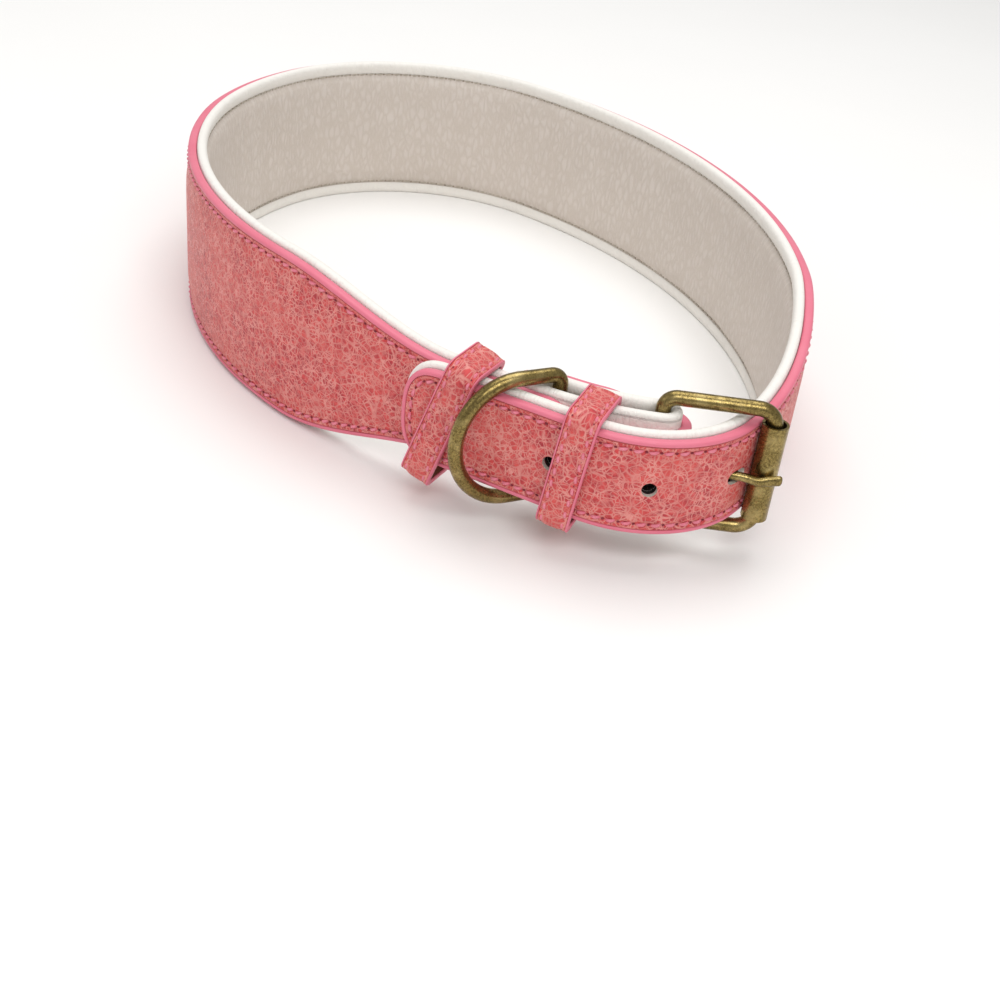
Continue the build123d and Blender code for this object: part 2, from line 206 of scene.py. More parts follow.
def outline():
    """The upper half of the outline, and its inward normals."""
    tip_s, tip_z = rounded_end(TIP_DEEP)
    tab_s, tab_z = rounded_end(TAB_DEEP)
    first = TIP_DEEP + 1.0
    last = LENGTH - TAB_DEEP - TIGHT_STEP
    edge_s = np.concatenate([np.arange(first, TIGHT_FROM, STEP), np.arange(TIGHT_FROM, last, TIGHT_STEP)])
    s = np.concatenate([tip_s, edge_s, LENGTH - tab_s[::-1]])
    z = np.concatenate([tip_z, half_width(edge_s), tab_z[::-1]])
    before_s, before_z = np.concatenate([[s[1]], s[:-1]]), np.concatenate([[-z[1]], z[:-1]])
    after_s, after_z = np.concatenate([s[1:], [s[-2]]]), np.concatenate([z[1:], [-z[-2]]])
    ds, dz = after_s - before_s, after_z - before_z
    size = np.hypot(ds, dz)
    return s, z, dz / size, -ds / size


EDGE_S, EDGE_Z, IN_S, IN_Z = outline()
EDGE_COUNT = len(EDGE_S)


def ring(inset):
    """The whole outline moved inwards: the upper half, then back along the lower half."""
    s = EDGE_S + IN_S * inset
    z = EDGE_Z + IN_Z * inset
    return np.concatenate([s, s[-2:0:-1]]), np.concatenate([z, -z[-2:0:-1]])


UV_PER_MM = 0.01


def make_mesh(name, points, faces, uvs=None):
    """A mesh object from points, and flat coordinates, in millimetres."""
    mesh = bpy.data.meshes.new(name)
    mesh.from_pydata((np.asarray(points) * MM).tolist(), [], faces)
    if uvs is not None:
        layer = mesh.uv_layers.new(name="flat")
        loops = np.zeros(len(mesh.loops), int)
        mesh.loops.foreach_get("vertex_index", loops)
        layer.data.foreach_set("uv", (np.asarray(uvs)[loops] * UV_PER_MM).ravel())
    mesh.validate()
    thing = bpy.data.objects.new(name, mesh)
    bpy.context.scene.collection.objects.link(thing)
    bm = bmesh.new()
    bm.from_mesh(mesh)
    bmesh.ops.recalc_face_normals(bm, faces=bm.faces)
    bm.to_mesh(mesh)
    bm.free()
    mesh.polygons.foreach_set("use_smooth", [True] * len(mesh.polygons))
    return thing


def skin(points, faces, rings):
    """Add a closed tube to lists of points and faces, from rings of equally many points."""
    base, size = len(points), len(rings[0])
    for ring_points in rings:
        points.extend(ring_points)
    for r in range(len(rings) - 1):
        a, b = base + r * size, base + (r + 1) * size
        for k in range(size):
            j = (k + 1) % size
            faces.append((a + k, a + j, b + j, b + k))
    last = base + (len(rings) - 1) * size
    faces.append(tuple(base + k for k in reversed(range(size))))
    faces.append(tuple(last + k for k in range(size)))


def circle(sides):
    """Cosine and sine of evenly spaced angles."""
    angles = [2 * math.pi * k / sides for k in range(sides)]
    return [(math.cos(a), math.sin(a)) for a in angles]


SKIVED = 0.2  # share of its height that the board loses where the strap folds
SKIVE_FROM = TO_FOLD - 30.0
SKIVE_EASE_IN = 9.0
SKIVE_TO = TO_FOLD + 16.0
SKIVE_EASE_OUT = 16.0


def skived(s):
    """1 along the fold, where the face and board are cut low beneath the lining's roll."""
    return smooth((s - SKIVE_FROM) / SKIVE_EASE_IN) * (1 - smooth((s - SKIVE_TO) / SKIVE_EASE_OUT))


def lowered(s, z, amount):
    return z * (1 - amount * skived(s))


SIDES_APART = 60.0  # between the outer, edge and inner sides in the flat coordinates


def rungs_between(profile_row, s, z, rungs, puff, low):
    """Points across one side of a layer, between the upper and lower half of its ring."""
    inset, out, side = profile_row
    upper = np.arange(1, EDGE_COUNT - 1)
    part = np.linspace(1, -1, rungs + 2)[1:-1]
    grid_s = np.repeat(s[upper][:, None], rungs, axis=1)
    grid_z = z[upper][:, None] * part[None, :]
    depth = lowered(grid_s, half_width(grid_s), low) - np.abs(grid_z)
    near_end = np.minimum(grid_s, LENGTH - grid_s)
    depth = np.minimum(depth, np.maximum(near_end, inset))
    grid_n = out + puff(grid_s, grid_z, depth, side)
    return grid_s.ravel(), grid_z.ravel(), grid_n.ravel()


def side_faces(first, base, rungs):
    """Faces across one side, from its ring's first point and its rungs' first point."""
    total = 2 * EDGE_COUNT - 2

    def vertex(i, column):
        if column == 0:
            return first + i
        if column == rungs + 1:
            return first + total - i
        return base + (i - 1) * rungs + column - 1

    faces = []
    for i in range(1, EDGE_COUNT - 2):
        for c in range(rungs + 1):
            faces.append((vertex(i, c), vertex(i + 1, c), vertex(i + 1, c + 1), vertex(i, c + 1)))
    for end, i in ((0, 1), (EDGE_COUNT - 1, EDGE_COUNT - 2)):
        for c in range(rungs + 1):
            faces.append((first + end, vertex(i, c), vertex(i, c + 1)))
    return faces


def shell(name, profile, rungs, puff, low=0.0):
    """A closed layer of the strap. The profile runs from the inner side round the edge to
    the outer side, as (inset, outwards, side). Rungs fill both sides between the edges."""
    total = 2 * EDGE_COUNT - 2
    rows, faces = [], []
    for inset, out, side in profile:
        s, z = ring(inset)
        z = lowered(s, z, low)
        rows.append((s, z, out + puff(s, z, np.full(total, inset), side), side))
    for k in range(len(profile) - 1):
        a, b = k * total, (k + 1) * total
        for i in range(total):
            j = (i + 1) % total
            faces.append((a + i, a + j, b + j, b + i))
    base = len(profile) * total
    for row in (0, len(profile) - 1):
        s, z, _, side = rows[row]
        rows.append((*rungs_between(profile[row], s, z, rungs, puff, low), side))
        faces.extend(side_faces(row * total, base, rungs))
        base += len(rows[-1][0])
    s, z, n = (np.concatenate([row[k] for row in rows]) for k in range(3))
    flat = [np.stack([row[0], row[1] + row[3] * SIDES_APART], axis=1) for row in rows]
    return make_mesh(name, place(s, z, n), faces, np.concatenate(flat))


STITCH_PITCH = 3.6
FACE_ROW = 2.9
LINING_ROW = 3.5


def face_puff(s, z, depth, side):
    """How far the face leather stands out or dips from flat."""
    if side <= 0:
        return 0 * s
    wide = wideness(s)
    crown = (0.2 + 0.5 * wide) * smooth((depth - FACE_ROW) / 9)
    groove = 0.38 * bell(depth - FACE_ROW, 0.6)
    pucker = 0.1 * np.cos(2 * math.pi * s / STITCH_PITCH) * bell(depth - FACE_ROW, 1.2)
    wander = 0.16 * wide * ripple(s, z, 9.0, 1.0) * smooth((depth - 3) / 4)
    return crown - groove + pucker + wander


def edge_puff(s, z, depth, side):
    """The slight waviness of the painted edge."""
    return 0.04 * ripple(s, z, 7.0, 3.0) * np.where(depth < 1.3, 1, 0)


def lining_puff(s, z, depth, side):
    """The lining's padding; where straps lie on each other it stays flat."""
    wide = wideness(s)
    if side >= 0:
        return 0 * s
    pad = (0.1 + 0.75 * wide) * smooth((depth - LINING_ROW) / 3.6)
    middle = 0.25 * wide * smooth((depth - 8) / 12)
    pucker = 0.09 * np.cos(2 * math.pi * s / STITCH_PITCH) * bell(depth - LINING_ROW, 1.4)
    wander = 0.14 * wide * ripple(s, z, 8.0, 2.0)
    return -(pad + middle) + pucker + wander


# Cross-sections of the strap's layers at its edge: inset, outwards, side
FACE_PROFILE = [
    (6.0, 1.62, -1), (3.0, 1.62, -1), (1.75, 1.66, -1), (1.4, 1.85, 0), (1.3, 2.2, 0),
    (1.34, 2.5, 0), (1.5, 2.68, 1), (1.8, 2.74, 1), (2.2, 2.74, 1), (2.6, 2.72, 1),
    (2.9, 2.7, 1), (3.2, 2.7, 1), (3.6, 2.7, 1), (4.2, 2.7, 1), (5.0, 2.7, 1), (6.0, 2.7, 1),
]
EDGE_PROFILE = [
    (6.0, 0.06, -1), (1.4, 0.06, -1), (0.5, 0.08, -1), (0.16, 0.24, 0), (0.0, 0.6, 0),
    (-0.06, 1.1, 0), (-0.06, 1.7, 0), (0.0, 2.2, 0), (0.2, 2.56, 0), (0.5, 2.74, 0),
    (0.85, 2.8, 0), (1.15, 2.74, 0), (1.26, 2.55, 0), (1.3, 1.9, 0), (1.45, 1.56, 1), (6.0, 1.54, 1),
]
LINING_PROFILE = [
    (6.0, -0.02, 1), (2.0, -0.02, 1), (0.6, -0.02, 1), (0.0, -0.06, 0), (-0.5, -0.2, 0),
    (-0.9, -0.5, 0), (-1.15, -0.95, 0), (-1.22, -1.5, 0), (-1.12, -2.1, 0), (-0.85, -2.6, 0),
    (-0.4, -2.95, 0), (0.2, -3.12, 0), (0.9, -3.14, 0), (1.6, -3.02, 0), (2.3, -2.76, 0),
    (2.9, -2.45, 0), (3.3, -2.25, -1), (3.5, -2.2, -1), (3.8, -2.3, -1), (4.3, -2.6, -1),
    (5.0, -2.95, -1), (6.0, -3.05, -1),
]


# Holes through the strap
FIRST_HOLE = 44.5
HOLE_STEP = 25.0
HOLE_COUNT = 5
HOLE = 2.0
USED_HOLE = 2
HOLE_SIDES = 40
HOLE_INNER = -3.47
HOLE_OUTER = 3.27
FOLD_JOINT = JOINTS[len(CHAIN) - len(RETURN) - 1]
BAR = (FOLD_JOINT[0], FOLD_JOINT[1] + BAR_REACH)
# The hole in use is cut along the prong and stretched towards its two sides
USED_CENTRE = (BAR[0] + 19.0, BAR[1] - 4.6, MID_Z)
USED_HALF_LENGTH = 9.0
USED_STRETCH = 0.8
# The slot that lets the prong through the fold
SLOT_LOW = (BAR[0] - 7.0, BAR[1] - 9.0, MID_Z - 3.2)
SLOT_HIGH = (BAR[0] + 10.0, BAR[1] + 9.0, MID_Z + 3.2)


def punched_rings(s):
    """The two ends of a cutter for a round hole."""
    x, y, h = (v[0] for v in seam([s]))
    normal = np.array([math.sin(h), -math.cos(h), 0])
    side = np.array([-math.cos(h), -math.sin(h), 0])
    down = np.array([0, 0, -1.0])
    return [
        [
            np.array([x, y, MID_Z]) + normal * out + HOLE * (side * across + down * drop)
            for across, drop in circle(HOLE_SIDES)
        ]
        for out in (HOLE_INNER, HOLE_OUTER)
    ]


def used_rings():
    """The two ends of the cutter for the hole in use."""
    return [
        [
            np.array(USED_CENTRE) + [end, math.copysign(USED_STRETCH, across) + HOLE * across, HOLE * up]
            for across, up in circle(HOLE_SIDES)
        ]
        for end in (-USED_HALF_LENGTH, USED_HALF_LENGTH)
    ]


def block_rings(low, high):
    """The two ends of a box."""
    corners = ((low[1], low[2]), (high[1], low[2]), (high[1], high[2]), (low[1], high[2]))
    return [[np.array([x, y, z]) for y, z in corners] for x in (low[0], high[0])]


def hole_cutter():
    """Everything that is cut through the strap's layers."""
    points, faces = [], []
    for index in range(HOLE_COUNT):
        if index != USED_HOLE:
            skin(points, faces, punched_rings(FIRST_HOLE + HOLE_STEP * index))
    skin(points, faces, used_rings())
    skin(points, faces, block_rings(SLOT_LOW, SLOT_HIGH))
    return make_mesh("hole_cutter", points, faces)


def cut(thing, cutter):
    """Cut the holes, then keep the cut's edges crisp."""
    modifier = thing.modifiers.new("holes", "BOOLEAN")
    modifier.operation = "DIFFERENCE"
    modifier.solver = "EXACT"
    modifier.object = cutter
    modifier.material_mode = "TRANSFER"
    apply_modifiers(thing)
    thing.data.set_sharp_from_angle(angle=math.radians(50))


def apply_modifiers(thing):
    depsgraph = bpy.context.evaluated_depsgraph_get()
    mesh = bpy.data.meshes.new_from_object(thing.evaluated_get(depsgraph))
    thing.modifiers.clear()
    old = thing.data
    thing.data = mesh
    bpy.data.meshes.remove(old)


STITCH_RINGS = 7
STITCH_SIDES = 7
STITCH_SINK = 0.3  # how far a stitch's ends lie in the leather
STITCH_FLAT = 0.85
DIMPLE_SIDES = 10
DIMPLE_LEVELS = ((-1.0, 0.6), (0.0, 1.0), (0.5, 0.55))  # height and breadth, as shares


def stitch_rings(start, end, normal, radius, lift):
    """One bowed stitch of thread, its two ends in the leather."""
    along = end - start
    size = np.linalg.norm(along)
    along = along / size
    side = np.cross(along, normal)
    side /= np.linalg.norm(side)
    rings = []
    for r in range(STITCH_RINGS):
        t = r / (STITCH_RINGS - 1)
        bow = math.sin(math.pi * t)
        centre = start + along * size * t + normal * (lift * bow**0.7 - STITCH_SINK)
        thick = radius * (0.55 + 0.45 * bow**0.5)
        rings.append(
            [centre + thick * (side * x + normal * STITCH_FLAT * y) for x, y in circle(STITCH_SIDES)]
        )
    return rings


def dimple_rings(centre, along, normal, size):
    """A small lens that shows as a needle hole, coloured dark as painted shade in the hole. Its size is
    long, wide, deep.
    """
    long, wide, deep = size
    side = np.cross(along, normal)
    return [
        [
            centre + along * long * x * grow + side * wide * y * grow + normal * height * deep
            for x, y in circle(DIMPLE_SIDES)
        ]
        for height, grow in DIMPLE_LEVELS
    ]


class StitchRow:
    """A row of stitches with the painted shade of its needle holes, gathered for two meshes."""

    def __init__(self, radius, lift, slant, dimple):
        self.radius, self.lift, self.slant, self.dimple = radius, lift, slant, dimple
        self.thread, self.holes = ([], []), ([], [])

    def add(self, spots, normal):
        """One stitch between the first two spots, and a needle hole's painted shade at the third."""
        along = (spots[1] - spots[0]) / np.linalg.norm(spots[1] - spots[0])
        slant = self.slant * np.cross(normal, along)
        stitch = stitch_rings(spots[0] - slant, spots[1] + slant, normal, self.radius, self.lift)
        skin(*self.thread, stitch)
        skin(*self.holes, dimple_rings(spots[2], along, normal, self.dimple))

    def make(self, name, hole_shade_name):
        return make_mesh(name, *self.thread), make_mesh(hole_shade_name, *self.holes)


# A stitch's two ends and its needle hole, as shares of the pitch
STRAP_SPOTS = (0.17, 0.83, 1.0)
KEEPER_SPOTS = (0.15, 0.8, 0.97)
STRAP_JITTER = 0.12


def strap_stitches(name, hole_shade_name, inset, outwards, facing, radius, lift):
    """A closed row of stitches all round the strap, and the painted shade of its needle holes."""
    s, z = ring(inset)
    z = lowered(s, z, SKIVED if facing > 0 else 0.0)
    s, z = np.append(s, s[0]), np.append(z, z[0])
    length = lengths_along(s, z)
    count = int(length[-1] / STITCH_PITCH)
    pitch = length[-1] / count
    row = StitchRow(radius, lift, slant=0.2, dimple=(0.42, 0.32, 0.25))
    for k in range(count):
        jitter = random.uniform(-STRAP_JITTER, STRAP_JITTER)
        at = np.array(STRAP_SPOTS) * pitch + k * pitch + jitter
        at = np.minimum(at, length[-1])
        ss, zz = np.interp(at, length, s), np.interp(at, length, z)
        heading = seam(ss)[2][0]
        normal = facing * np.array([math.sin(heading), -math.cos(heading), 0.0])
        row.add(place(ss, zz, np.full(3, outwards)), normal)
    return row.make(name, hole_shade_name)


# Keeper loops
KEEPER_CORNER = 1.5
KEEPER_BOW = 0.25
KEEPER_WAVE = 0.05
BAND_GAP = 0.5
SEWN_GAP = 2.0


def keeper_plane(x, y, heading, out, drop, lean):
    """Centre, outward direction, upward direction and run of a keeper loop."""
    run, normal = turned(heading), turned(heading - 90)
    centre = np.array([x + normal[0] * out, y + normal[1] * out, MID_Z - drop])
    tip = math.radians(lean)
    axis = np.array([run[0] * math.cos(tip), run[1] * math.cos(tip), -math.sin(tip)])
    outward = np.array([normal[0], normal[1], 0])
    return centre, outward, np.cross(axis, outward), axis


def loop_path(depth, height, gap):
    """Points and outward normals round a keeper, from one end of its joint to the other."""
    a, b, r = depth / 2, height / 2, KEEPER_CORNER
    points, normals = [], []

    def straight(x0, y0, x1, y1, nx, ny, count):
        for t in np.linspace(0, 1, count, endpoint=False):
            points.append((x0 + (x1 - x0) * t, y0 + (y1 - y0) * t))
            normals.append((nx, ny))

    def corner(cx, cy, start):
        for t in np.linspace(0, 90, 9, endpoint=False):
            angle = math.radians(start - t)
            points.append((cx + r * math.cos(angle), cy + r * math.sin(angle)))
            normals.append((math.cos(angle), math.sin(angle)))

    straight(-a, gap / 2, -a, b - r, -1, 0, 14)
    corner(-a + r, b - r, 180)
    straight(-a + r, b, a - r, b, 0, 1, 18)
    corner(a - r, b - r, 90)
    straight(a, b - r, a, -b + r, 1, 0, 30)
    corner(a - r, -b + r, 0)
    straight(a - r, -b, -a + r, -b, 0, -1, 18)
    corner(-a + r, -b + r, -90)
    straight(-a, -b + r, -a, -gap / 2, -1, 0, 14)
    points.append((-a, -gap / 2))
    normals.append((-1, 0))
    return np.array(points), np.array(normals)


def swell(path, normals, space):
    """How far a keeper's face bows out at each point of its path."""
    return KEEPER_BOW * np.cos(path[:, 1] / space[1] * math.pi) * (normals[:, 0] > 0.5)


def loop_sweep(name, plane, space, section):
    """Sweep a closed section, (across, outwards), round a keeper's path."""
    centre, outward, upward, axis = plane
    path, normals = loop_path(space[0], space[1], BAND_GAP)
    rings, uvs = [], []
    for spot, facing, bow, at in zip(path, normals, swell(path, normals, space), lengths_along(*path.T)):
        rings.append([])
        for across, out in section:
            lift = out + bow + KEEPER_WAVE * math.sin(at / 3.1 + across)
            u, v = spot + facing * lift
            rings[-1].append(centre + outward * u + upward * v + axis * across)
            uvs.append((at, across))
    points, faces = [], []
    skin(points, faces, rings)
    return make_mesh(name, points, faces, uvs)


def loop_stitches(name, hole_shade_name, plane, space, row, outwards):
    """Two rows of stitches round a keeper's face, and the painted shade of their needle holes."""
    centre, outward, upward, axis = plane
    path, normals = loop_path(space[0], space[1], SEWN_GAP)
    path = path + normals * (outwards + swell(path, normals, space))[:, None]
    length = lengths_along(*path.T)
    count = int(length[-1] / STITCH_PITCH)
    pitch = length[-1] / count
    rows = StitchRow(radius=0.45, lift=0.55, slant=0.22, dimple=(0.38, 0.3, 0.22))
    for side in (-row, row):
        for k in range(count):
            at = np.array(KEEPER_SPOTS) * pitch + k * pitch
            px, py = (np.interp(at, length, values) for values in path.T)
            nx, ny = (np.interp(at[0], length, values) for values in normals.T)
            spots = [centre + outward * a + upward * b + axis * side for a, b in zip(px, py)]
            normal = outward * nx + upward * ny
            rows.add(spots, normal / np.linalg.norm(normal))
    return rows.make(name, hole_shade_name)


# Prong: its wire curls round the frame's back bar, dips over the roller and ends flattened
CURL = 3.3
CURL_TURN = 285.0
CURL_POINTS = 70
PRONG_TILT = 2.886
PRONG_LENGTH = 32.4
PRONG_POINTS = 90
PRONG_WIRE = 1.2
PRONG_SIDES = 24
FLAT_FROM, FLAT_RUN = 25.5, 5.0
FLAT_THINNER, FLAT_TALLER = 0.25, 0.28
SAG, SAG_AT, SAG_SPREAD = 0.75, 27.2, 3.0
HOOK_FROM, HOOK_RUN = 30.2, 2.4
TIP_ROUNDING = ((0.3, 0.93), (0.55, 0.78), (0.72, 0.52), (0.78, 0.2))  # onwards, share of the wire


def prong_course():
    """Centre, sideways and upright radius along the prong's wire."""
    course = []
    for angle in np.linspace(-90 - PRONG_TILT - CURL_TURN, -90 - PRONG_TILT, CURL_POINTS):
        x, y = np.array(BAR) + CURL * turned(angle)
        course.append(((x, y, MID_Z), PRONG_WIRE, PRONG_WIRE))
    start = np.array([x, y])
    for d in np.linspace(0, PRONG_LENGTH, PRONG_POINTS)[1:]:
        flat = smooth((d - FLAT_FROM) / FLAT_RUN)
        x, y = start + turned(-PRONG_TILT) * d
        y += 0.2 * flat + 0.45 * smooth((d - HOOK_FROM) / HOOK_RUN)
        z = MID_Z - SAG * bell(d - SAG_AT, SAG_SPREAD)
        course.append(((x, y, z), PRONG_WIRE - FLAT_THINNER * flat, PRONG_WIRE + FLAT_TALLER * flat))
    _, side, height = course[-1]
    for step, share in TIP_ROUNDING:
        course.append(((x + step, y, z), side * share, height * share))
    return course


def prong_wire(name):
    """The prong's wire as one closed tube."""
    course = prong_course()
    centres = np.array([centre for centre, _, _ in course])
    rings = []
    for k, (_, side_radius, height) in enumerate(course):
        along = centres[min(k + 1, len(course) - 1)] - centres[max(k - 1, 0)]
        side = np.cross(along, (0, 0, 1.0))
        side /= np.linalg.norm(side)
        upright = np.cross(side, along / np.linalg.norm(along))
        rings.append(
            [centres[k] + side * side_radius * a + upright * height * b for a, b in circle(PRONG_SIDES)]
        )
    points, faces = [], []
    skin(points, faces, rings)
    return make_mesh(name, points, faces)


# Materials


def tone(text):
    """Linear colour from a hex colour."""
    parts = [int(text[k : k + 2], 16) / 255 for k in (0, 2, 4)]
    return tuple(p / 12.92 if p <= 0.04045 else ((p + 0.055) / 1.055) ** 2.4 for p in parts) + (1,)


class Paint:
    """A small helper that wires up one node material."""

    def __init__(self, name):
        self.material = bpy.data.materials.new(name)
        self.material.use_nodes = True
        self.tree = self.material.node_tree
        self.shader = self.tree.nodes["Principled BSDF"]

    def node(self, kind, inputs=None, **settings):
        """A shader node with its settings and inputs."""
        made = self.tree.nodes.new("ShaderNode" + kind)
        for key, value in settings.items():
            setattr(made, key, value)
        for key, value in (inputs or {}).items():
            self.put(made.inputs[key], value)
        return made

    def put(self, socket, value):
        """Link a socket, or set its value."""
        if isinstance(value, bpy.types.NodeSocket):
            self.tree.links.new(value, socket)
        else:
            socket.default_value = value

    def scaled(self, vector, factor):
        return self.node("VectorMath", {0: vector, 3: factor}, operation="SCALE").outputs[0]

    def flat(self):
        """The piece's own flat coordinates, in millimetres."""
        return self.scaled(self.node("UVMap", uv_map="flat").outputs[0], 1 / UV_PER_MM)

    def solid(self, scale=1.0):
        """The object's coordinates, in millimetres times scale."""
        return self.scaled(self.node("TexCoord").outputs["Object"], scale / MM)

    def noise(self, vector, scale, detail=3.0, rough=0.5):
        made = self.node(
            "TexNoise", {"Vector": vector, "Scale": scale, "Detail": detail, "Roughness": rough}
        )
        return made.outputs["Fac"]

    def ramp(self, value, low, high, first=0.0, last=1.0):
        made = self.node(
            "MapRange",
            {"Value": value, "From Min": low, "From Max": high, "To Min": first, "To Max": last},
        )
        return made.outputs[0]

    def math(self, operation, a, b=0.0):
        return self.node("Math", {0: a, 1: b}, operation=operation).outputs[0]

    def mix(self, amount, a, b):
        made = self.node("Mix", data_type="RGBA")
        self.put(made.inputs["Factor"], amount)
        self.put(made.inputs[6], a)
        self.put(made.inputs[7], b)
        return made.outputs[2]

    def warped(self, vector, scale, amount):
        """Vector moved about by noise."""
        made = self.node("TexNoise", {"Vector": vector, "Scale": scale, "Detail": 2.0})
        centred = self.node(
            "VectorMath", {0: made.outputs["Color"], 1: (0.5, 0.5, 0.5)}, operation="SUBTRACT"
        )
        moved = self.scaled(centred.outputs[0], amount)
        return self.node("VectorMath", {0: vector, 1: moved}, operation="ADD").outputs[0]

    def cracks(self, vector, scale, low, high):
        """Lines between random cells: 1 on the line, 0 inside a cell."""
        made = self.node(
            "TexVoronoi", {"Vector": vector, "Scale": scale}, feature="DISTANCE_TO_EDGE"
        )
        return self.ramp(made.outputs["Distance"], low, high, 1.0, 0.0)

    def bump(self, height, strength, distance):
        made = self.node("Bump", {"Height": height, "Strength": strength, "Distance": distance * MM})
        self.put(self.shader.inputs["Normal"], made.outputs[0])

    def finish(self, **sockets):
        for key, value in sockets.items():
            self.put(self.shader.inputs[key.replace("_", " ")], value)
        return self.material


def crackle_leather(name):
    """Coral leather whose worn, pale creases net deeper red cells. The net has three sizes:
    the medium one fades where the leather is less worn, and the small one comes in patches."""
    p = Paint(name)
    uv = p.flat()
    large = p.cracks(p.warped(uv, 0.25, 1.6), 0.42, 0.025, 0.08)
    medium = p.cracks(p.warped(uv, 0.5, 0.9), 0.66, 0.03, 0.105)
    small = p.cracks(p.warped(uv, 0.9, 0.5), 1.20, 0.03, 0.13)
    patches = p.ramp(p.noise(uv, 0.05, 3.0, 0.6), 0.42, 0.60)
    worn = p.ramp(p.noise(uv, 0.21, 2.0), 0.36, 0.60)
    medium_part = p.math("MULTIPLY", medium, p.ramp(worn, 0.0, 1.0, 0.6, 1.0))
    small_part = p.math("MULTIPLY", small, p.ramp(p.noise(uv, 0.34, 2.0), 0.42, 0.62, 0.0, 0.55))
    web = p.math("MAXIMUM", large, p.math("MAXIMUM", medium_part, small_part))
    grain = p.noise(uv, 2.4, 3.0, 0.6)
    web = p.math("MULTIPLY", web, p.ramp(grain, 0.28, 0.52, 0.6, 1.0))
    cell = p.mix(p.ramp(p.noise(uv, 0.55, 2.0), 0.36, 0.64), tone("A6222F"), tone("CF4344"))
    cell = p.mix(p.ramp(patches, 0.0, 1.0, 0.0, 0.5), cell, tone("DA564F"))
    pale = p.mix(p.ramp(worn, 0.0, 1.0), tone("D27E77"), tone("E0948B"))
    colour = p.mix(p.math("MULTIPLY", web, 0.94), cell, pale)
    height = p.math("ADD", p.math("MULTIPLY", web, -0.5), p.math("MULTIPLY", grain, 0.4))
    p.bump(height, 0.6, 0.25)
    return p.finish(
        Base_Color=colour,
        Roughness=p.ramp(grain, 0.3, 0.7, 0.36, 0.56),
        Specular_IOR_Level=0.42,
    )


def pink_paint(name):
    """Smooth painted edge, with the faint unevenness of a brushed coat."""
    p = Paint(name)
    where = p.solid()
    shade = p.mix(p.noise(where, 0.09, 3.0), tone("D9697F"), tone("E27F92"))
    p.bump(p.noise(where, 0.7, 3.0), 0.25, 0.12)
    rough = p.ramp(p.noise(where, 0.4), 0.3, 0.7, 0.36, 0.5)
    return p.finish(Base_Color=shade, Roughness=rough, Specular_IOR_Level=0.4)


def lining_leather(name):
    """Soft cream lining, finely wrinkled across the strap. Its inner side is painted darker as shade, and
    the wrinkle creases there darker still as painted shade.
    """
    p = Paint(name)
    uv = p.flat()
    stretched = p.node("VectorMath", {0: uv, 1: (1.0, 0.42, 1.0)}, operation="MULTIPLY").outputs[0]
    wrinkle = p.cracks(p.warped(stretched, 0.5, 1.8), 0.5, 0.0, 0.28)
    grain = p.noise(uv, 1.9, 4.0, 0.65)
    soft = p.noise(stretched, 0.35, 3.0, 0.6)
    height = p.math("ADD", p.math("MULTIPLY", wrinkle, -0.5), p.math("MULTIPLY", grain, 0.6))
    height = p.math("ADD", height, p.math("MULTIPLY", soft, 0.8))
    p.bump(height, 0.65, 0.4)
    height_in_strip = p.node("SeparateXYZ", {0: uv}).outputs[1]
    # Mask of the lining's inner side, which is painted darker as shade inside the collar
    shaded_inner_side = p.ramp(height_in_strip, 28.0 - SIDES_APART, 30.0 - SIDES_APART, 1.0, 0.0)
    shade = p.mix(p.noise(uv, 0.05, 3.0), tone("E9E5DE"), tone("F1EEE8"))
    shade = p.mix(shaded_inner_side, shade, p.mix(p.noise(uv, 0.06, 3.0), tone("D0C6BD"), tone("D9D0C8")))
    # Painted shade in the wrinkle creases of the inner side
    shade = p.mix(p.math("MULTIPLY", p.math("MULTIPLY", wrinkle, shaded_inner_side), 0.3), shade, tone("B5A796"))
    return p.finish(Base_Color=shade, Roughness=p.ramp(grain, 0.3, 0.7, 0.5, 0.66), Specular_IOR_Level=0.35)


def thread_material(name, dark, light):
    """Twisted sewing thread. Its colour drifts at random and along the twist bands, whose lighter and
    darker stripes are painted sheen and shade on the plies.
    """
    p = Paint(name)
    where = p.solid()
    wave = p.node(
        "TexWave",
        {"Vector": where, "Scale": 1.6, "Distortion": 1.5, "Detail": 1.0},
        wave_type="BANDS",
        bands_direction="DIAGONAL",
    ).outputs["Fac"]
    # Random drift, plus painted sheen and shade along the twist bands
    shade = p.mix(p.math("MULTIPLY", p.noise(where, 0.5, 2.0), wave), tone(dark), tone(light))
    p.bump(wave, 0.5, 0.12)
    return p.finish(Base_Color=shade, Roughness=0.38, Specular_IOR_Level=0.6)


def plain_stain(name, dark, light, scale, rough):
    """A matte colour that drifts between two shades."""
    p = Paint(name)
    where = p.solid()
    shade = p.mix(p.noise(where, scale, 3.0), tone(dark), tone(light))
    p.bump(p.noise(where, 1.6, 3.0), 0.4, 0.2)
    return p.finish(Base_Color=shade, Roughness=rough)


def antique_brass(name):
    """Olive-gold brass: dark in its finely mottled film, with lighter patches painted on as highlights."""
    p = Paint(name)
    where = p.solid()
    film = p.noise(where, 1.9, 4.0, 0.72)
    specks = p.noise(where, 4.5, 2.0, 0.6)
    painted_highlight = p.noise(where, 0.2, 2.0)
    shade = p.mix(p.ramp(film, 0.34, 0.64), tone("584A2A"), tone("9C8852"))
    shade = p.mix(p.ramp(specks, 0.54, 0.70, 0.0, 0.5), shade, tone("3C321C"))
    # Lighter patches here are painted highlights
    shade = p.mix(p.ramp(painted_highlight, 0.48, 0.70, 0.0, 0.45), shade, tone("C9B47C"))
    p.bump(p.math("ADD", p.math("MULTIPLY", film, 0.5), p.math("MULTIPLY", specks, 0.5)), 0.22, 0.08)
    return p.finish(
        Base_Color=shade, Metallic=0.94, Roughness=p.ramp(film, 0.3, 0.7, 0.36, 0.22)
    )


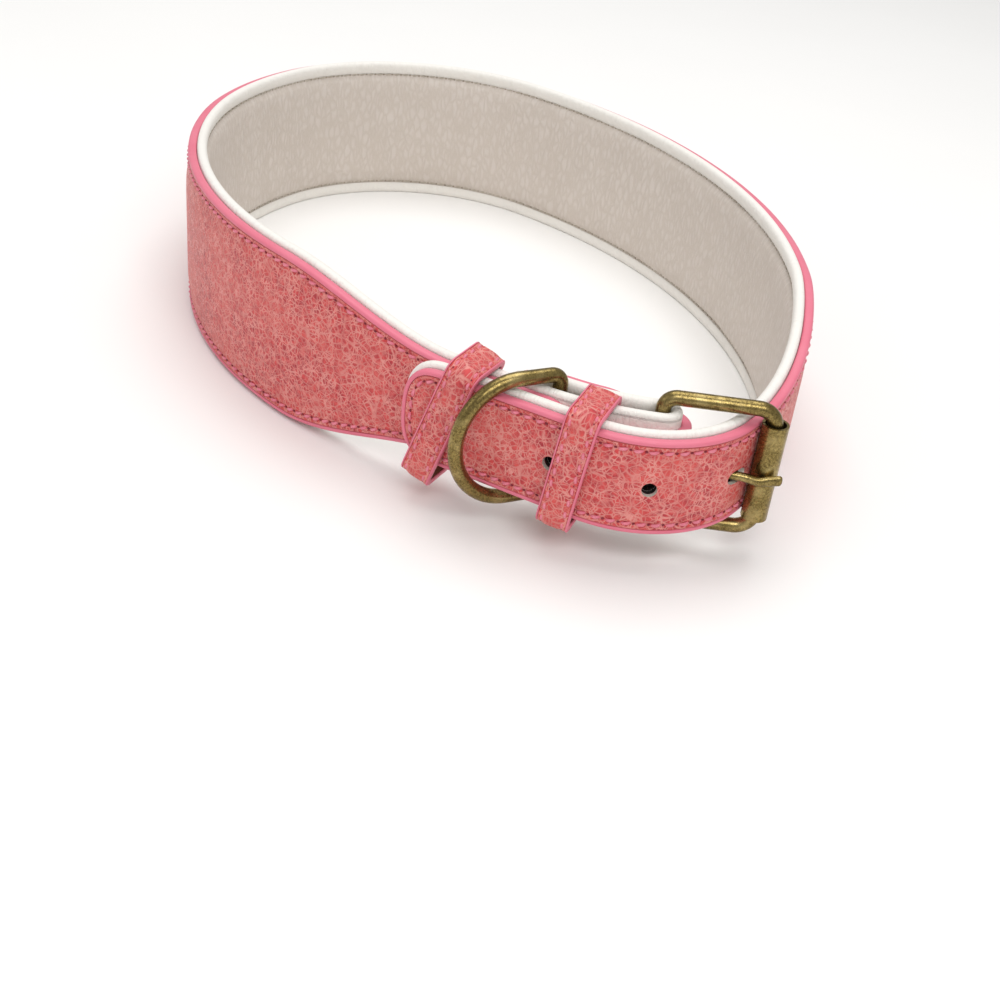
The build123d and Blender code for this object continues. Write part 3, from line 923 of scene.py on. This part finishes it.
LEATHER = crackle_leather("coral_crackle_leather")
PAINT = pink_paint("pink_edge_paint")
LINING = lining_leather("cream_lining")
FACE_THREAD = thread_material("pink_thread", "DB6078", "FBB6C2")
LINING_THREAD = thread_material("grey_thread", "ABA191", "DAD2C5")
# Needle holes: small lenses coloured dark as painted shade in the holes
NEEDLE_HOLE_SHADE = plain_stain("needle_hole_shade", "6E1C2A", "8E2A3A", 0.8, 0.8)
LINING_HOLE_SHADE = plain_stain("lining_needle_hole_shade", "8F8474", "A89D8C", 0.8, 0.8)
CUT_RIM = plain_stain("cut_rim", "B9AFA2", "E4DED3", 0.6, 0.7)
# Walls of the board's and lining's holes: near-black as painted shade deep in the holes
CUT_WALL_SHADE = plain_stain("cut_wall_shade", "17110F", "2C221E", 0.6, 0.8)
BACKING = plain_stain("keeper_backing", "5C3320", "8A5234", 0.35, 0.7)
BRASS = antique_brass("antique_brass")


def dress(thing, material, body, slot, *replaced):
    """Give a piece its material and its body, and hide the CAD nodes that it replaces. The slot is not
    used.
    """
    thing.data.materials.clear()
    thing.data.materials.append(material)
    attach(thing, body)
    if replaced:
        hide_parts(*replaced)
    return thing


# Strap
strap_face = shell("strap_face", FACE_PROFILE, 9, face_puff, SKIVED)
strap_edge = shell("strap_edge", EDGE_PROFILE, 5, edge_puff, SKIVED)
strap_lining = shell("strap_lining", LINING_PROFILE, 9, lining_puff)
cutter = hole_cutter()
# Hole walls: the face's take the cream cut colour, the board's and lining's painted shade
for piece, material, wall, slot_name, replaced in (
    (strap_face, LEATHER, CUT_RIM, "face_leather", ("outer_leather",)),
    (strap_edge, PAINT, CUT_WALL_SHADE, "board", ("backing_board",)),
    (strap_lining, LINING, CUT_WALL_SHADE, "lining", ("lining_leather", "foam_pad")),
):
    piece.data.materials.append(material)
    cutter.data.materials.clear()
    cutter.data.materials.append(wall)
    cut(piece, cutter)
    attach(piece, "strap")
    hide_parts(*replaced)
bpy.data.objects.remove(cutter)

face_row, face_hole_shade = strap_stitches(
    "face_stitches", "face_needle_hole_shade", FACE_ROW, outwards=2.5, facing=1, radius=0.5, lift=0.6
)
dress(face_row, FACE_THREAD, "strap", "face_thread", "face_thread")
dress(face_hole_shade, NEEDLE_HOLE_SHADE, "strap", "face_thread")
lining_row, lining_hole_shade = strap_stitches(
    "lining_stitches", "lining_needle_hole_shade", LINING_ROW, outwards=-2.32, facing=-1, radius=0.34, lift=0.3
)
dress(lining_row, LINING_THREAD, "strap", "lining_thread", "lining_thread")
dress(lining_hole_shade, LINING_HOLE_SHADE, "strap", "lining_thread")

# Keepers: the face band, its backing and one painted edge, as (across, outwards)
BAND_SECTION = [
    (-3.98, 0.92), (-4.02, 1.3), (-3.96, 1.62), (-3.7, 1.78), (-3.2, 1.78), (-2.9, 1.66), (-2.6, 1.76),
    (-1.9, 1.94), (-0.9, 2.02), (0.0, 2.04), (0.9, 2.02), (1.9, 1.94), (2.6, 1.76), (2.9, 1.66),
    (3.2, 1.78), (3.7, 1.78), (3.96, 1.62), (4.02, 1.3), (3.98, 0.92),
]
BACK_SECTION = [(-4.0, 0.02), (4.0, 0.02), (4.0, 0.88), (-4.0, 0.88)]
EDGE_SECTION = [
    (4.01, 0.04), (4.3, 0.02), (4.48, 0.25), (4.54, 0.8), (4.52, 1.35), (4.42, 1.72), (4.2, 1.88),
    (4.0, 1.86), (4.05, 1.35), (4.03, 0.8),
]
KEEPER_ROW = 2.9
KEEPER_THREAD_OUT = 1.6
TIP_LOOP = (13.2, 35.5)
TIP_LOOP_AT = TO_SHOULDER + 10.0
BUCKLE_LOOP = (15.4, 31.4)
BUCKLE_LOOP_AT = (36.0, -115.987, -19.0)


def keeper(name, plane, space):
    """All the pieces of one keeper loop, whose body has its name. The space is what the loop
    leaves inside, as (depth, height)."""
    band = loop_sweep(name + "_band", plane, space, BAND_SECTION)
    dress(band, LEATHER, name, "face_leather", name + "_face")
    band.data.set_sharp_from_angle(angle=math.radians(60))
    back = loop_sweep(name + "_lining", plane, space, BACK_SECTION)
    dress(back, BACKING, name, "keeper_backing", name + "_backing")
    back.data.set_sharp_from_angle(angle=math.radians(40))
    for side, sign in (("near", 1), ("far", -1)):
        section = [(sign * across, out) for across, out in EDGE_SECTION]
        edge = loop_sweep(name + "_edge_" + side, plane, space, section)
        dress(edge, PAINT, name, "board")
    rows, holes = loop_stitches(
        name + "_stitches", name + "_needle_hole_shade", plane, space, KEEPER_ROW, KEEPER_THREAD_OUT
    )
    dress(rows, FACE_THREAD, name, "face_thread", name + "_thread")
    dress(holes, NEEDLE_HOLE_SHADE, name, "face_thread")


tip_x, tip_y, tip_heading = (v[0] for v in seam([TIP_LOOP_AT]))
tip_plane = keeper_plane(tip_x, tip_y, math.degrees(tip_heading), out=3.1, drop=0.3, lean=18.0)
keeper("tip_keeper", tip_plane, TIP_LOOP)
keeper("buckle_keeper", keeper_plane(*BUCKLE_LOOP_AT, out=0.7, drop=0.0, lean=7.0), BUCKLE_LOOP)

# Metal
dress(prong_wire("prong_wire"), BRASS, "prong", "brass", "prong")
for node_name in (
    "buckle_frame", "d_ring", "roller", "rivet_caps", "rivet_post",
    "tip_keeper_staple", "buckle_keeper_staple",
):
    NODES[node_name].data.materials.clear()
    NODES[node_name].data.materials.append(BRASS)

# Studio
FLOOR_SIZE = 8.0
WORLD_STRENGTH = 0.5
SOFTBOXES = (  # name, place, target, size, watts
    ("key", (0.2, -0.8, 0.85), (0, 0, 0.02), (0.7, 0.5), 4.8),
    ("fill", (-0.9, -0.3, 0.6), (0, 0, 0.02), (0.6, 0.6), 0.9),
    ("top", (0.0, 0.25, 1.1), (0, 0, 0.0), (0.9, 0.9), 7.0),
)


def floor_material(name):
    p = Paint(name)
    shade = p.mix(p.noise(p.solid(0.01), 1.0), tone("F2F1EF"), tone("F5F4F2"))
    return p.finish(Base_Color=shade, Roughness=0.9)


def softbox(name, place_at, target, size, power):
    light = bpy.data.lights.new(name, "AREA")
    light.shape = "RECTANGLE"
    light.size, light.size_y = size
    light.energy = power
    lamp = bpy.data.objects.new(name, light)
    bpy.context.scene.collection.objects.link(lamp)
    lamp.location = place_at
    aim = Vector(target) - Vector(place_at)
    lamp.rotation_mode = "QUATERNION"
    lamp.rotation_quaternion = aim.to_track_quat("-Z", "Y")


bpy.ops.mesh.primitive_plane_add(size=FLOOR_SIZE, location=(0, 0, 0))
floor = bpy.context.object
floor.name = "studio_floor"
floor.data.materials.append(floor_material("pale_floor"))

world = bpy.data.worlds.new("studio")
bpy.context.scene.world = world
world.use_nodes = True
background = world.node_tree.nodes["Background"]
background.inputs["Color"].default_value = (1.0, 1.0, 1.0, 1)
background.inputs["Strength"].default_value = WORLD_STRENGTH

for softbox_values in SOFTBOXES:
    softbox(*softbox_values)

# Camera
ELEVATION = math.radians(32.71)
ROLL = math.radians(7.39)
AIM = Vector((0.0173, -0.14075, 0.026))
DISTANCE = 0.3365
SENSOR = 36.0
LENS = 50.4
forward = Vector((0, math.cos(ELEVATION), -math.sin(ELEVATION)))
level_up = Vector((0, math.sin(ELEVATION), math.cos(ELEVATION)))
right = Vector((1, 0, 0)) * math.cos(ROLL) + level_up * math.sin(ROLL)
up = Vector((-1, 0, 0)) * math.sin(ROLL) + level_up * math.cos(ROLL)
camera_data = bpy.data.cameras.new("camera")
camera = bpy.data.objects.new("camera", camera_data)
bpy.context.scene.collection.objects.link(camera)
camera_data.sensor_width = SENSOR
camera_data.lens = LENS
camera_data.clip_start = 0.01
camera_data.clip_end = 20.0
spot = AIM - forward * DISTANCE
camera.matrix_world = Matrix(
    (
        (right.x, up.x, -forward.x, spot.x),
        (right.y, up.y, -forward.y, spot.y),
        (right.z, up.z, -forward.z, spot.z),
        (0, 0, 0, 1),
    )
)
bpy.context.scene.camera = camera
bpy.context.scene.view_settings.view_transform = "Standard"
